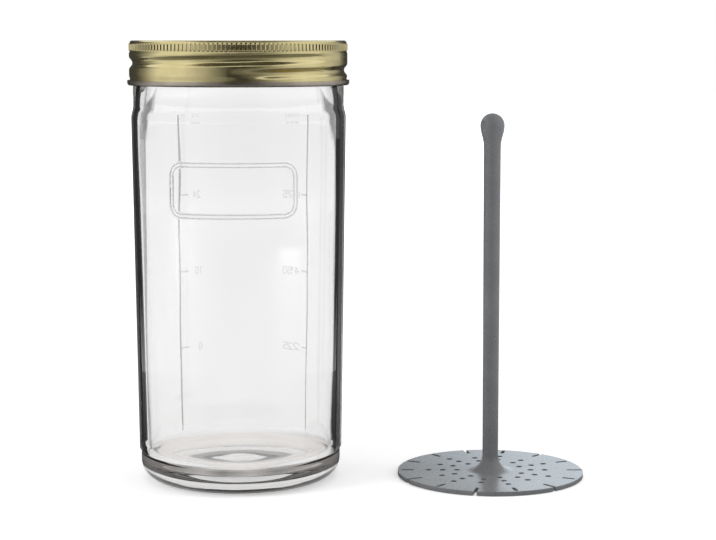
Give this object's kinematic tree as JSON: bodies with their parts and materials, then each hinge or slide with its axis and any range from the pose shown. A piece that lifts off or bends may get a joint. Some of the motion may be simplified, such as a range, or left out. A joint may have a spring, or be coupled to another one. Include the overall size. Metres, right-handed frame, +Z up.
{
  "type": "preserving jar with lifter",
  "caption": "Straight wide-mouth clear glass preserving jar with a two-part screw lid, and a perforated disc lifter on a stem standing beside it.",
  "frame": {"origin": "middle of the whole set's footprint, on the surface that the jar and the lifter stand on", "axes": "+X from the jar towards the lifter beside it, +Z up, +Y towards the jar's back wall with its scale"},
  "size_m": [0.2094, 0.101, 0.201],
  "materials": {
    "clear_glass": "clear, moulded, with soft flow streaks",
    "gold_tinplate": "gold-lacquered tinplate, glossy",
    "sealing_compound": "soft flowed-in compound, satin",
    "grey_silicone": "matte silicone",
    "core_nylon": "plain moulded"
  },
  "bodies": {
    "jar": {"jar_body": "clear_glass"},
    "lid_disc": {"seal_disc": "gold_tinplate", "sealing_ring": "sealing_compound"},
    "lid_band": {"screw_band": "gold_tinplate"},
    "lifter": {"lifter": "grey_silicone", "lifter_core": "core_nylon"}
  },
  "joints": [
    {"name": "lid_lift", "type": "slide", "parent": "jar", "child": "lid_disc", "axis": [0, 0, 1], "range_m": [0, 0.0255]},
    {"name": "band_turn", "type": "hinge", "parent": "lid_disc", "child": "lid_band", "pos_m": [-0.05425, 0, 0.19], "axis": [0, 0, 1], "range_deg": [0, 1440]},
    {"name": "lifter_lift", "type": "slide", "parent": "jar", "child": "lifter", "axis": [0, 0, 1], "range_m": [0, 0.17]}
  ],
  "couplings": [
    {"joint": "lid_lift", "follows": "band_turn", "m_per_rad": 0.0010106}
  ]
}
